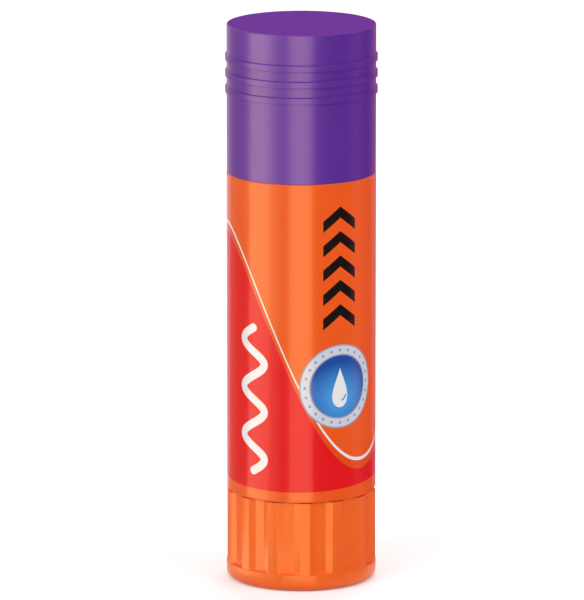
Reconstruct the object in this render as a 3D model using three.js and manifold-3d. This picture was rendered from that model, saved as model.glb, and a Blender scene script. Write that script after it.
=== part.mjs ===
// A twist-up glue stick with its cap on, in millimetres, +Z up.
// The origin is at the centre of the underside of its base, and the front faces -Y.
// Turning the base clockwise, seen from below, winds the carrier and its glue up the left-hand spindle.

import * as THREE from "three";
import { mergeVertices } from "three/addons/utils/BufferGeometryUtils.js";
import Module from "manifold-3d";

const wasm = await Module();
wasm.setup();

// Glue column, partly used
const BORE_RADIUS = 10.8;
const GLUE_CLEARANCE = 0.4;
const GLUE_ABOVE_CARRIER = 14.5;
const GLUE_BELOW_NECK_TOP = 0.95;
const GLUE_EDGE_RADIUS = 0.8;
const GLUE_CUP_CLEARANCE = 0.1;

// Carrier
const CARRIER_HEIGHT = 9.5;
const CARRIER_CLEARANCE = 0.3;
const CARRIER_FLOOR = 1.6;
const CARRIER_EDGE_CHAMFER = 0.3;
const CUP_WALL = 0.5;
const NUT_HEIGHT = 9;
const NUT_WALL = 1.2;
const NUT_THREAD_START = 1.5;
const NUT_THREAD_TURNS = 1.5;

// Spindle
const SPINDLE_CORE_RADIUS = 2.6;
const SPINDLE_BELOW_NECK_TOP = 5;
const SPINDLE_TIP_CHAMFER = 0.6;
const THREAD_LEAD = 4;
const THREAD_DEPTH = 1;
const THREAD_ROOT_WIDTH = 1.6;
const THREAD_CREST_WIDTH = 1;
const THREAD_CLEARANCE = 0.3;
const THREAD_SINK = 0.35;
const THREAD_START = 1.2;
const THREAD_TIP_SETBACK = 1.4;
const FLANGE_THICKNESS = 1.2;
const FLANGE_OVERLAP = 1.8;
const JOURNAL_CLEARANCE = 0.2;
const JOURNAL_STEP = 0.45;
const STUB_ACROSS_FLATS = 4.4;
const STUB_ABOVE_KNOB_FLOOR = 4.8;
const SOCKET_CLEARANCE = 0.1;
const SOCKET_END_CLEARANCE = 0.3;

// Barrel
const BODY_HEIGHT = 57.5;
const BODY_EDGE_CHAMFER = 0.15;
const SEAM_GAP = 0.25;
const BULKHEAD_THICKNESS = 2;
const NECK_HEIGHT = 10;
const NECK_WALL = 1.05;
const NECK_RIM_RADIUS = 0.35;
const NECK_BEAD_HEIGHT = 0.15;
const NECK_BEAD_WIDTH = 1.2;
const NECK_BEAD_DROP = 4;
const SKIRT_ABOVE_KNOB_FLOOR = 3.05;
const SKIRT_WALL = 1.2;
const SKIRT_CLEARANCE = 0.2;
const SKIRT_EDGE_CHAMFER = 0.4;
const RIB_COUNT = 4;
const RIB_WIDTH = 1.4;
const RIB_HEIGHT = 0.5;
const RIB_CLEARANCE = 0.3;
const RIB_BELOW_NECK_TOP = 1;

// Label
const LABEL_THICKNESS = 0.07;
const LABEL_GLUE_LINE = 0.03;
const LABEL_MARGIN = 0.2;

// Cap
const CAP_HEIGHT = 26.55;
const CAP_WALL = 1.1;
const CAP_TOP_THICKNESS = 1.4;
const CAP_NECK_CLEARANCE = 0.3;
const CAP_OVER_BODY = 0.05;
const CAP_TOP_EDGE_RADIUS = 0.3;
const CAP_MOUTH_CHAMFER = 0.3;
const CAP_CORNER_RADIUS = 0.25;
const CAP_BEAD_WIDTH = 0.8;
const CAP_BEAD_CLEARANCE = 0.06;
const CAP_BEAD_GAP = 0.6;
const GRIP_RING_COUNT = 3;
const GRIP_RING_PITCH = 2.88;
const GRIP_RING_DROP = 5.9;
const GRIP_RING_WIDTH = 1.25;
const GRIP_RING_HEIGHT = 0.3;

// Knob
const KNOB_HEIGHT = 16.2;
const KNOB_OVER_LABEL = 0.05;
const KNOB_WALL = 0.75;
const KNOB_FLOOR = 1.8;
const KNOB_EDGE_RADIUS = 1.3;
const KNOB_TOP_CHAMFER = 0.1;
const RIM_BAND_HEIGHT = 3.1;
const RIM_BAND_STEP = 0.05;
const FOOT_WIDTH = 3.4;
const FOOT_HEIGHT = 0.6;
const BOSS_WALL = 2;
const SNAP_RING_HEIGHT = 0.35;
const SNAP_RING_WIDTH = 0.8;
const SNAP_RING_CLEARANCE = 0.2;
const SNAP_RING_ABOVE_SKIRT_END = 2.4;
const GROOVE_COUNT = 14;
const GROOVE_DEPTH = 0.65;
const GROOVE_FLOOR_WIDTH = 1.8;
const GROOVE_MOUTH_SHARE = 0.7;
const GROOVE_PHASE = THREE.MathUtils.degToRad(-99.9);

// How finely round shapes are cut into facets
const ROUND_SEGMENTS = 56;
const SCREW_SEGMENTS = 16;
const ARC_STEPS = 3;
const BEAD_CREST_SHARE = 0.5;
const WELD_DISTANCE = 1e-4;
const CUT_OVERRUN = 1;

// Heights, from the underside of the base up
const knobFloorTop = FOOT_HEIGHT + KNOB_FLOOR;
const bodyBottom = KNOB_HEIGHT + SEAM_GAP;
const shoulder = bodyBottom + BODY_HEIGHT;
const neckTop = shoulder + NECK_HEIGHT;
const capTop = shoulder + CAP_HEIGHT;
const bulkheadTop = bodyBottom + BULKHEAD_THICKNESS;
const skirtBottom = knobFloorTop + SKIRT_ABOVE_KNOB_FLOOR;
const ribTop = neckTop - RIB_BELOW_NECK_TOP;
const flangeTop = bulkheadTop + FLANGE_THICKNESS;
const spindleTop = neckTop - SPINDLE_BELOW_NECK_TOP;
const threadBottom = flangeTop + THREAD_START;
const threadTop = spindleTop - THREAD_TIP_SETBACK;
const stubBottom = knobFloorTop + STUB_ABOVE_KNOB_FLOOR;
const snapHeight = skirtBottom + SNAP_RING_ABOVE_SKIRT_END;
const glueTop = neckTop - GLUE_BELOW_NECK_TOP;
const carrierTop = glueTop - GLUE_ABOVE_CARRIER;
const carrierBottom = carrierTop - CARRIER_HEIGHT;
const cupFloor = carrierBottom + CARRIER_FLOOR;
const nutTop = carrierBottom + NUT_HEIGHT;

// The nut's ridge starts on a whole step of the spindle's, so that the two stay half a turn apart
const threadStep = THREAD_LEAD / SCREW_SEGMENTS;
const nutThreadSteps = Math.ceil((carrierBottom + NUT_THREAD_START - threadBottom) / threadStep);
const nutThreadBottom = threadBottom + nutThreadSteps * threadStep;

// The screw's and the nut's facets are turned by half of one, so that each corner of a ridge meets a flat
const halfFacet = Math.PI / SCREW_SEGMENTS;

// Radii, from the axis out
const stubRadius = STUB_ACROSS_FLATS / Math.sqrt(3);
const journalRadius = stubRadius + JOURNAL_STEP;
const bulkheadHole = journalRadius + JOURNAL_CLEARANCE;
const flangeRadius = bulkheadHole + FLANGE_OVERLAP;
const threadRadius = SPINDLE_CORE_RADIUS + THREAD_DEPTH;
const nutBore = threadRadius + THREAD_CLEARANCE;
const nutThreadRadius = SPINDLE_CORE_RADIUS + THREAD_CLEARANCE;
const nutRadius = nutBore + NUT_WALL;
const carrierRadius = BORE_RADIUS - CARRIER_CLEARANCE;
const notchRadius = BORE_RADIUS - RIB_HEIGHT - RIB_CLEARANCE;
const cupRadius = notchRadius - CUP_WALL;
const glueRadius = BORE_RADIUS - GLUE_CLEARANCE;
const neckRadius = BORE_RADIUS + NECK_WALL;
const capBore = neckRadius + CAP_NECK_CLEARANCE;
const capRadius = capBore + CAP_WALL;
const bodyRadius = capRadius - CAP_OVER_BODY;
const labelRadius = bodyRadius + LABEL_GLUE_LINE + LABEL_THICKNESS;
const landRadius = labelRadius + KNOB_OVER_LABEL;
const rimBandRadius = landRadius + RIM_BAND_STEP;
const grooveFloorRadius = landRadius - GROOVE_DEPTH;
const knobBore = grooveFloorRadius - KNOB_WALL;
const bossRadius = stubRadius + BOSS_WALL;
const skirtRadius = knobBore - SKIRT_CLEARANCE;
const skirtBore = skirtRadius - SKIRT_WALL;
const snapGrooveRadius = knobBore - SNAP_RING_HEIGHT - SNAP_RING_CLEARANCE;

// Points of a quarter round, from one angle to another in degrees, anticlockwise.
function arc(radius, height, size, from) {
  const points = [];
  for (let step = 0; step <= ARC_STEPS; step++) {
    const angle = THREE.MathUtils.degToRad(from + (90 * step) / ARC_STEPS);
    points.push([radius + size * Math.cos(angle), height + size * Math.sin(angle)]);
  }
  return points;
}

// A low ring with sloping sides on a wall: it stands out by rise, or in where rise is negative.
function bead(radius, height, width, rise, upwards = true) {
  const foot = width / 2;
  const crest = foot * BEAD_CREST_SHARE;
  const points = [
    [radius, height - foot],
    [radius + rise, height - crest],
    [radius + rise, height + crest],
    [radius, height + foot],
  ];
  return upwards ? points : points.reverse();
}

// A turned solid: its outline goes up the outside, and is a loop or starts and ends on the axis.
function revolve(outline, segments = ROUND_SEGMENTS) {
  const points = outline.map(([radius, height]) => new THREE.Vector2(radius, height));
  if (outline[0][0] > 0) points.push(points[0].clone());
  return new THREE.LatheGeometry(points, segments).rotateX(Math.PI / 2);
}

// An upright prism on a plan of corners, anticlockwise.
function prism(corners, bottom, top) {
  const plan = new THREE.Shape(corners.map(([x, y]) => new THREE.Vector2(x, y)));
  const options = { depth: top - bottom, bevelEnabled: false };
  return new THREE.ExtrudeGeometry(plan, options).translate(0, 0, bottom);
}

// An upright bar that lies across the +X direction, from one distance off the axis to another.
function bar(inner, outer, width, bottom, top) {
  const half = width / 2;
  return prism([[inner, -half], [outer, -half], [outer, half], [inner, half]], bottom, top);
}

// A hexagonal prism on the axis.
function hexagon(acrossFlats, bottom, top) {
  const corners = [];
  for (let corner = 0; corner < 6; corner++) {
    const angle = (corner * Math.PI) / 3;
    const radius = acrossFlats / Math.sqrt(3);
    corners.push([radius * Math.cos(angle), radius * Math.sin(angle)]);
  }
  return prism(corners, bottom, top);
}

// A left-hand helical ridge that starts at the given height. It fades out over its first and last quarter turn.
// The lag, in turns, sets it beside the spindle's own ridge, which has none.
function threadRidge({ root, crest, rootWidth, crestWidth, bottom, length, lag }) {
  const steps = Math.round(length / threadStep);
  const fadeSteps = SCREW_SEGMENTS / 4;
  const inward = crest < root;
  const positions = [];
  for (let step = 0; step <= steps; step++) {
    const height = bottom + step * threadStep;
    const turns = lag - (height - threadBottom) / THREAD_LEAD;
    const fade = Math.min(1, (step + 0.5) / fadeSteps, (steps - step + 0.5) / fadeSteps);
    const tip = root + (crest - root) * fade;
    const section = [
      [root, height - rootWidth / 2],
      [tip, height - crestWidth / 2],
      [tip, height + crestWidth / 2],
      [root, height + rootWidth / 2],
    ];
    if (inward) section.reverse();
    for (const [radius, level] of section) {
      const angle = turns * 2 * Math.PI;
      positions.push(radius * Math.cos(angle), radius * Math.sin(angle), level);
    }
  }
  const last = steps * 4;
  const faces = [0, 2, 1, 0, 3, 2, last, last + 1, last + 2, last, last + 2, last + 3];
  for (let step = 0; step < steps; step++) {
    for (let side = 0; side < 4; side++) {
      const here = step * 4 + side;
      const next = step * 4 + ((side + 1) % 4);
      faces.push(here, next, here + 4, next, next + 4, here + 4);
    }
  }
  const geometry = new THREE.BufferGeometry();
  geometry.setAttribute("position", new THREE.Float32BufferAttribute(positions, 3));
  geometry.setIndex(faces);
  return geometry;
}

// Copies of a geometry spaced evenly round the axis.
function aroundAxis(count, phase, makeOne) {
  return Array.from({ length: count }, (_, index) =>
    makeOne().rotateZ(phase + (index * 2 * Math.PI) / count),
  );
}

// A closed geometry as a solid for joining and cutting.
function solid(geometry) {
  const bare = new THREE.BufferGeometry();
  bare.setAttribute("position", geometry.getAttribute("position"));
  bare.setIndex(geometry.getIndex());
  const welded = mergeVertices(bare, WELD_DISTANCE);
  const corners = welded.getIndex().array;
  const faces = [];
  for (let i = 0; i < corners.length; i += 3) {
    const [a, b, c] = corners.slice(i, i + 3);
    if (a !== b && b !== c && c !== a) faces.push(a, b, c);
  }
  const vertProperties = welded.getAttribute("position").array;
  const triVerts = new Uint32Array(faces);
  return new wasm.Manifold(new wasm.Mesh({ numProp: 3, vertProperties, triVerts }));
}

// A first geometry with others joined to it and then others cut out of it.
function combine(first, { joined = [], cut = [] }) {
  let result = solid(first);
  for (const geometry of joined) result = result.add(solid(geometry));
  for (const geometry of cut) result = result.subtract(solid(geometry));
  const { vertProperties, triVerts } = result.getMesh();
  const geometry = new THREE.BufferGeometry();
  geometry.setAttribute("position", new THREE.BufferAttribute(vertProperties, 3));
  geometry.setIndex(new THREE.BufferAttribute(triVerts, 1));
  geometry.computeVertexNormals();
  return geometry;
}

// Cap: a straight cup, mouth down, with grip rings outside and a snap bead inside its mouth.
function makeCap() {
  const gripRings = [];
  for (let ring = GRIP_RING_COUNT - 1; ring >= 0; ring--) {
    const height = capTop - GRIP_RING_DROP - ring * GRIP_RING_PITCH;
    gripRings.push(...bead(capRadius, height, GRIP_RING_WIDTH, GRIP_RING_HEIGHT));
  }
  const ceiling = capTop - CAP_TOP_THICKNESS;
  const capBeadHeight = neckTop - NECK_BEAD_DROP - NECK_BEAD_WIDTH / 2 - CAP_BEAD_GAP - CAP_BEAD_WIDTH / 2;
  const capBeadRise = CAP_NECK_CLEARANCE - NECK_BEAD_HEIGHT - CAP_BEAD_CLEARANCE;
  return revolve([
    [capBore + CAP_MOUTH_CHAMFER, shoulder],
    [capRadius, shoulder],
    ...gripRings,
    ...arc(capRadius - CAP_TOP_EDGE_RADIUS, capTop - CAP_TOP_EDGE_RADIUS, CAP_TOP_EDGE_RADIUS, 0),
    [0, capTop],
    [0, ceiling],
    ...arc(capBore - CAP_CORNER_RADIUS, ceiling - CAP_CORNER_RADIUS, CAP_CORNER_RADIUS, 0).reverse(),
    ...bead(capBore, capBeadHeight, CAP_BEAD_WIDTH, -capBeadRise, false),
    [capBore, shoulder + CAP_MOUTH_CHAMFER],
    [capBore + CAP_MOUTH_CHAMFER, shoulder],
  ]);
}

// Barrel: body, neck for the cap, bulkhead for the spindle, skirt inside the knob, and guide ribs in the bore.
function makeBarrel() {
  const snapHalfWidth = SNAP_RING_WIDTH / 2 + SNAP_RING_CLEARANCE;
  const tube = revolve([
    [skirtBore, skirtBottom],
    [skirtRadius - SKIRT_EDGE_CHAMFER, skirtBottom],
    [skirtRadius, skirtBottom + SKIRT_EDGE_CHAMFER],
    [skirtRadius, snapHeight - snapHalfWidth],
    [snapGrooveRadius, snapHeight - snapHalfWidth],
    [snapGrooveRadius, snapHeight + snapHalfWidth],
    [skirtRadius, snapHeight + snapHalfWidth],
    [skirtRadius, bodyBottom],
    [bodyRadius - BODY_EDGE_CHAMFER, bodyBottom],
    [bodyRadius, bodyBottom + BODY_EDGE_CHAMFER],
    [bodyRadius, shoulder - BODY_EDGE_CHAMFER],
    [bodyRadius - BODY_EDGE_CHAMFER, shoulder],
    [neckRadius, shoulder],
    ...bead(neckRadius, neckTop - NECK_BEAD_DROP, NECK_BEAD_WIDTH, NECK_BEAD_HEIGHT),
    ...arc(neckRadius - NECK_RIM_RADIUS, neckTop - NECK_RIM_RADIUS, NECK_RIM_RADIUS, 0),
    ...arc(BORE_RADIUS + NECK_RIM_RADIUS, neckTop - NECK_RIM_RADIUS, NECK_RIM_RADIUS, 90),
    [BORE_RADIUS, bulkheadTop],
    [bulkheadHole, bulkheadTop],
    [bulkheadHole, bodyBottom],
    [skirtBore, bodyBottom],
  ]);
  const ribs = aroundAxis(RIB_COUNT, Math.PI / RIB_COUNT, () =>
    bar(BORE_RADIUS - RIB_HEIGHT, BORE_RADIUS + NECK_WALL / 2, RIB_WIDTH, bodyBottom, ribTop),
  );
  return combine(tube, { joined: ribs });
}

// Label: a thin sleeve of film on the barrel's body.
function makeLabel() {
  const inner = bodyRadius + LABEL_GLUE_LINE;
  const bottom = bodyBottom + LABEL_MARGIN;
  const top = shoulder - LABEL_MARGIN;
  return revolve([[inner, bottom], [labelRadius, bottom], [labelRadius, top], [inner, top]]);
}

// One groove of the knob's grip: a flat floor between two sloping walls, open at the top edge.
function makeGripGroove() {
  const halfFloor = GROOVE_FLOOR_WIDTH / 2;
  const halfMouthAngle = (GROOVE_MOUTH_SHARE * Math.PI) / GROOVE_COUNT;
  const halfMouth = landRadius * Math.sin(halfMouthAngle);
  const mouthRadius = landRadius * Math.cos(halfMouthAngle);
  const spread = (halfMouth - halfFloor) / (mouthRadius - grooveFloorRadius);
  const outer = rimBandRadius + CUT_OVERRUN;
  const halfOuter = halfFloor + spread * (outer - grooveFloorRadius);
  const plan = [
    [grooveFloorRadius, -halfFloor],
    [outer, -halfOuter],
    [outer, halfOuter],
    [grooveFloorRadius, halfFloor],
  ];
  return prism(plan, RIM_BAND_HEIGHT, KNOB_HEIGHT + CUT_OVERRUN);
}

// Knob: the turning base, a grooved cup with a hexagonal socket for the spindle and a foot ring underneath.
function makeKnob() {
  const footRadius = rimBandRadius - KNOB_EDGE_RADIUS;
  const cup = revolve([
    [0, FOOT_HEIGHT],
    [footRadius - FOOT_WIDTH, FOOT_HEIGHT],
    [footRadius - FOOT_WIDTH, 0],
    ...arc(footRadius, KNOB_EDGE_RADIUS, KNOB_EDGE_RADIUS, -90),
    [rimBandRadius, RIM_BAND_HEIGHT],
    [landRadius, RIM_BAND_HEIGHT + RIM_BAND_STEP],
    [landRadius, KNOB_HEIGHT - KNOB_TOP_CHAMFER],
    [landRadius - KNOB_TOP_CHAMFER, KNOB_HEIGHT],
    [knobBore, KNOB_HEIGHT],
    ...bead(knobBore, snapHeight, SNAP_RING_WIDTH, -SNAP_RING_HEIGHT, false),
    [knobBore, knobFloorTop],
    [bossRadius, knobFloorTop],
    [bossRadius, KNOB_HEIGHT],
    [0, KNOB_HEIGHT],
  ]);
  const socket = hexagon(
    STUB_ACROSS_FLATS + 2 * SOCKET_CLEARANCE,
    stubBottom - SOCKET_END_CLEARANCE,
    KNOB_HEIGHT + CUT_OVERRUN,
  );
  const grooves = aroundAxis(GROOVE_COUNT, GROOVE_PHASE, makeGripGroove);
  return combine(cup, { cut: [socket, ...grooves] });
}

// Spindle: the left-hand lead screw, with a thrust flange on the bulkhead and a hexagonal stub in the knob.
function makeSpindle() {
  const shaft = revolve(
    [
      [0, KNOB_HEIGHT],
      [journalRadius, KNOB_HEIGHT],
      [journalRadius, bulkheadTop],
      [flangeRadius, bulkheadTop],
      [flangeRadius, flangeTop],
      [SPINDLE_CORE_RADIUS, flangeTop],
      [SPINDLE_CORE_RADIUS, spindleTop - SPINDLE_TIP_CHAMFER],
      [SPINDLE_CORE_RADIUS - SPINDLE_TIP_CHAMFER, spindleTop],
      [0, spindleTop],
    ],
    SCREW_SEGMENTS,
  ).rotateZ(halfFacet);
  const stub = hexagon(STUB_ACROSS_FLATS, stubBottom, bulkheadTop);
  const thread = threadRidge({
    root: SPINDLE_CORE_RADIUS - THREAD_SINK,
    crest: threadRadius,
    rootWidth: THREAD_ROOT_WIDTH,
    crestWidth: THREAD_CREST_WIDTH,
    bottom: threadBottom,
    length: threadTop - threadBottom,
    lag: 0,
  });
  return combine(shaft, { joined: [stub, thread] });
}

// Carrier: a cup for the glue with notches for the guide ribs and a nut in its middle.
function makeCarrier() {
  const nutMiddleRadius = nutBore + NUT_WALL / 2;
  const cup = revolve([
    [nutMiddleRadius, carrierBottom],
    [carrierRadius - CARRIER_EDGE_CHAMFER, carrierBottom],
    [carrierRadius, carrierBottom + CARRIER_EDGE_CHAMFER],
    [carrierRadius, carrierTop],
    [cupRadius, carrierTop],
    [cupRadius, cupFloor],
    [nutMiddleRadius, cupFloor],
  ]);
  const nut = revolve(
    [
      [nutBore, carrierBottom],
      [nutRadius, carrierBottom],
      [nutRadius, nutTop],
      [nutBore, nutTop],
    ],
    SCREW_SEGMENTS,
  ).rotateZ(halfFacet);
  const thread = threadRidge({
    root: nutBore + THREAD_SINK,
    crest: nutThreadRadius,
    rootWidth: THREAD_LEAD - THREAD_CREST_WIDTH - 2 * THREAD_CLEARANCE,
    crestWidth: THREAD_LEAD - THREAD_ROOT_WIDTH - 2 * THREAD_CLEARANCE,
    bottom: nutThreadBottom,
    length: NUT_THREAD_TURNS * THREAD_LEAD,
    lag: 0.5,
  });
  const notches = makeRibNotches(carrierBottom - CUT_OVERRUN, carrierTop + CUT_OVERRUN);
  return combine(cup, { joined: [nut, thread], cut: notches });
}

// Notches that pass the barrel's guide ribs.
function makeRibNotches(bottom, top) {
  return aroundAxis(RIB_COUNT, Math.PI / RIB_COUNT, () =>
    bar(notchRadius, BORE_RADIUS + CUT_OVERRUN, RIB_WIDTH + 2 * RIB_CLEARANCE, bottom, top),
  );
}

// Glue: a column seated in the carrier's cup, with the hole that the spindle leaves in it.
function makeGlue() {
  const inCup = cupRadius - GLUE_CUP_CLEARANCE;
  const overNut = nutRadius + GLUE_CUP_CLEARANCE;
  const column = revolve([
    [overNut, cupFloor],
    [inCup, cupFloor],
    [inCup, carrierTop],
    [glueRadius, carrierTop],
    ...arc(glueRadius - GLUE_EDGE_RADIUS, glueTop - GLUE_EDGE_RADIUS, GLUE_EDGE_RADIUS, 0),
    [nutBore, glueTop],
    [nutBore, nutTop],
    [overNut, nutTop],
  ]);
  return combine(column, { cut: makeRibNotches(carrierTop, glueTop + CUT_OVERRUN) });
}

function plastic(colour, roughness) {
  return new THREE.MeshStandardMaterial({ color: colour, roughness, metalness: 0 });
}

const pieces = [
  ["cap", makeCap(), plastic(0x70389a, 0.35)],
  ["barrel", makeBarrel(), plastic(0xf26a21, 0.35)],
  ["label", makeLabel(), plastic(0xf4661e, 0.25)],
  ["knob", makeKnob(), plastic(0xf47b35, 0.4)],
  ["spindle", makeSpindle(), plastic(0xf2f0ea, 0.45)],
  ["carrier", makeCarrier(), plastic(0xf2f0ea, 0.45)],
  ["glue", makeGlue(), plastic(0xf7f5ee, 0.6)],
];

const glueStick = new THREE.Group();
for (const [name, geometry, material] of pieces) {
  const mesh = new THREE.Mesh(geometry, material);
  mesh.name = name;
  glueStick.add(mesh);
}

export default glueStick;
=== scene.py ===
"""A twist-up glue stick with its cap on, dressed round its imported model.

Lengths are in millimetres and angles in degrees, unless a line says otherwise.
The stick stands on Z = 0 with its axis up, and its front faces -Y.
"""

import math
from collections import namedtuple
from functools import cached_property

import bmesh
import bpy
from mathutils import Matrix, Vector, noise
from mathutils.geometry import delaunay_2d_cdt


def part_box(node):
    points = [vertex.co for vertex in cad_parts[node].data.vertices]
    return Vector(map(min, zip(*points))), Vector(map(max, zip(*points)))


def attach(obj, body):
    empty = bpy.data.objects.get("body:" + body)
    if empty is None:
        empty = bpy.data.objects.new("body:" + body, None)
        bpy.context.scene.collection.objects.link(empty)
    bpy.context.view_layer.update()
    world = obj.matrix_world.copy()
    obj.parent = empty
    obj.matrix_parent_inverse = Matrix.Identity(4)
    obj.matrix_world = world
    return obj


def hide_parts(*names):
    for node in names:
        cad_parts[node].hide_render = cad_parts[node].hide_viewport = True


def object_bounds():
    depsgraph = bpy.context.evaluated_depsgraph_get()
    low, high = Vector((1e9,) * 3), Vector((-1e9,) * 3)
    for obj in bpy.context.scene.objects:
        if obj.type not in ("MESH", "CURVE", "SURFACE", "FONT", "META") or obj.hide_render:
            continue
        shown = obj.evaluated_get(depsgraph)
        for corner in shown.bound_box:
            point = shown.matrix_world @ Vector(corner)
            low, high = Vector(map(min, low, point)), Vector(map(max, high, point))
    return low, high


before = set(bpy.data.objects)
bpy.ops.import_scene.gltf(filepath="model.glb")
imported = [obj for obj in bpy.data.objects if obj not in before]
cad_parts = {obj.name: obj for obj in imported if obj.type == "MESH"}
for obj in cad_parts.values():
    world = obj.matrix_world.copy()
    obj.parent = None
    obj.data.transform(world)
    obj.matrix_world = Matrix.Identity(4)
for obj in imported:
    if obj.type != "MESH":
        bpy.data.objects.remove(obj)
cad_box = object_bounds()

MM = 0.001
FULL_TURN = 360
HALF_TURN = 180

# How finely the meshes are cut, and how they are joined and shaded
ROUND_COLUMNS = 240
COLUMN_MARGIN = 0.2
FILLET_STEPS = 4
LARGE_FILLET = 1
TINY_FILLET = 0.05
SHARP_ANGLE = 42
LEVEL_NORMAL = 0.99
OVERRUN = 1
WELD = 0.001

# Cap
CAP_WALL = 1.1
CAP_TOP_THICKNESS = 1.4
CAP_TOP_FILLET = 0.15
CAP_EDGE_FILLET = 0.1
CAP_MOUTH_CHAMFER = 0.3
CAP_CORNER_FILLET = 0.25
CAP_NECK_CLEARANCE = 0.3
CAP_BEAD_HEIGHT = 4.85
CAP_BEAD_WIDTH = 0.8
CAP_BEAD_RISE = 0.09
CAP_BEAD_SLOPE = 0.15
GRIP_RING_COUNT = 3
GRIP_RING_PITCH = 2.88
GRIP_RING_DROP = 5.9
GRIP_RING_WIDTH = 1.25
GRIP_RING_HEIGHT = 0.3
GRIP_RING_SLOPE = 0.1
GRIP_RING_FILLET = 0.07

# Barrel
NECK_WALL = 1.05
NECK_RIM_FILLET = 0.35
NECK_BEAD_DROP = 4
NECK_BEAD_WIDTH = 1.2
NECK_BEAD_RISE = 0.15
NECK_BEAD_SLOPE = 0.35
NECK_BEAD_FILLET = 0.2
BODY_EDGE_FILLET = 0.15
BULKHEAD_HOLE_RADIUS = 3.19
BULKHEAD_THICKNESS = 2
SEAM_GAP = 0.25
VISIBLE_SEAM = 0.16
SEAM_FILLET = 0.05
SKIRT_CLEARANCE = 0.2
SKIRT_WALL = 1.2
SKIRT_EDGE_FILLET = 0.3
SNAP_HEIGHT = 7.85
SNAP_GROOVE_WIDTH = 1.2
SNAP_GROOVE_DEPTH = 0.35
RIB_COUNT = 4
RIB_WIDTH = 1.4
RIB_HEIGHT = 0.5
RIB_CLEARANCE = 0.3
RIB_BELOW_NECK_TOP = 1
RIB_LEAD_IN = 0.45
RIB_LEAD_IN_BULGE = 0.8
RIB_FILLET = 0.12

# The rounded edge of a rib, as (fillets past its wall, share of its height)
RIB_EDGE = [(-1, 0), (0, 0.3), (0.4, 0.85), (1, 1)]

# Knob
KNOB_OVER_LABEL = 0.05
KNOB_WALL = 0.75
KNOB_FLOOR = 1.8
KNOB_EDGE_FILLET = 1.3
RIM_BAND_HEIGHT = 3.1
RIM_BAND_FILLET = 0.12
FOOT_WIDTH = 3.4
FOOT_HEIGHT = 0.6
FOOT_FILLET = 0.15
GATE_RADIUS = 0.8
GATE_DEPTH = 0.25
BOSS_RADIUS = 4.54
SOCKET_CLEARANCE = 0.1
SOCKET_END_CLEARANCE = 0.3
SNAP_RING_RISE = 0.35
SNAP_RING_WIDTH = 0.8
SNAP_RING_SLOPE = 0.2
SNAP_RING_FILLET = 0.1
GROOVE_COUNT = 14
GROOVE_DEPTH = 0.65
GROOVE_FLOOR_WIDTH = 1.8
GROOVE_MOUTH_SHARE = 0.7
GROOVE_PHASE = -99.9
GROOVE_FLOOR_FILLET = 0.3
GROOVE_MOUTH_FILLET = 0.2
GROOVE_BESIDE = 2
GROOVE_END_LENGTH = 0.45

# How a groove deepens above the rim band, as (share of the end's length, share of the depth)
GROOVE_END = [(0, 0.05), (0.1, 0.55), (0.35, 0.86), (0.65, 0.97), (1, 1)]

# Spindle
STUB_ACROSS_FLATS = 4.4
JOURNAL_RADIUS = 2.99
FLANGE_RADIUS = 4.99
FLANGE_THICKNESS = 1.2
FLANGE_FILLET = 0.2
CORE_RADIUS = 2.6
SPINDLE_TIP_CHAMFER = 0.6
THREAD_RADIUS = 3.6
THREAD_LEAD = 4
THREAD_ROOT_WIDTH = 1.6
THREAD_CREST_WIDTH = 1
THREAD_START = 1.2
THREAD_TIP_SETBACK = 1.4
THREAD_SINK = 0.35
THREAD_CLEARANCE = 0.3
THREAD_FADE_TURNS = 0.25
THREAD_STEPS_PER_TURN = 48

# Carrier
CARRIER_FLOOR = 1.6
CARRIER_EDGE_FILLET = 0.25
CUP_RADIUS = 9.5
NUT_BORE = 3.9
NUT_WALL = 1.2
NUT_BELOW_RIM = 0.5
NUT_THREAD_START = 1.6
NUT_THREAD_TURNS = 1.5

# Glue
GLUE_FIT = 0.1
GLUE_NOTCH_RADIUS = 10
GLUE_SHOULDER_FILLET = 1.1
GLUE_SHOULDER_STEPS = 8
GLUE_DOME = 0.25
GLUE_TOP_RINGS = 18
GLUE_HOLE_FILLET = 0.25
SMEAR_HEIGHT = 0.32
SMEAR_LENGTH = 6
SMEAR_WIDTH = 0.8
PIT_HEIGHT = 0.14
PIT_SIZE = 0.9
PIT_PLANE = 5
WORN_DEPTH = 1.5

# Label film
FILM_THICKNESS = 0.06
FILM_OVERLAP = 2.4
FILM_OVERLAP_RISE = 0.05
FILM_OVERLAP_RAMP = 0.9
FILM_COLUMN = 1.25
FILM_ROW_COUNT = 12
CURVE_POINTS = 96
CUT_TOLERANCE = 1e-5

# The print's plan is the film laid flat, seen from outside: x runs round the stick from its front line,
# and y up from the film's lower edge. The wave's phase and the glint's angles are in radians.
WAVE_CREST_X = -22
WAVE_MIDDLE = 23.6
WAVE_SWING = 18.5
WAVE_RIPPLE = 6
WAVE_RIPPLE_PHASE = 0.6
WAVE_EDGE = 1.5
PINSTRIPE = 0.6
FOOT_CREST_X = -3
FOOT_MIDDLE = 2.5
FOOT_SWING = -0.9
ZIGZAG_X = -9.2
ZIGZAG_Y = 5
ZIGZAG_HEIGHT = 26
ZIGZAG_SWING = 2.3
ZIGZAG_WAVES = 3
ZIGZAG_WAVE_STEPS = 24
ZIGZAG_WIDTH = 1.5
CHEVRON_COUNT = 5
CHEVRON_Y = 31
CHEVRON_PITCH = 4.4
CHEVRON_WIDTH = 6.6
CHEVRON_RISE = 2.5
CHEVRON_THICKNESS = 2
BADGE_X = 7.2
BADGE_Y = 20.6
BADGE_SIZE = 15.2
BADGE_DISC_SIZE = 11.2
BADGE_LINE = 0.5
GLOW_BELOW = BADGE_DISC_SIZE / 5
GLOW_NEAR = 0.5
GLOW_FAR = BADGE_DISC_SIZE * 0.6
DOT_COUNT = 24
DOT_SIZE = 0.55
DOT_POINTS = 16
DROP_BELOW = 0.2
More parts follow.
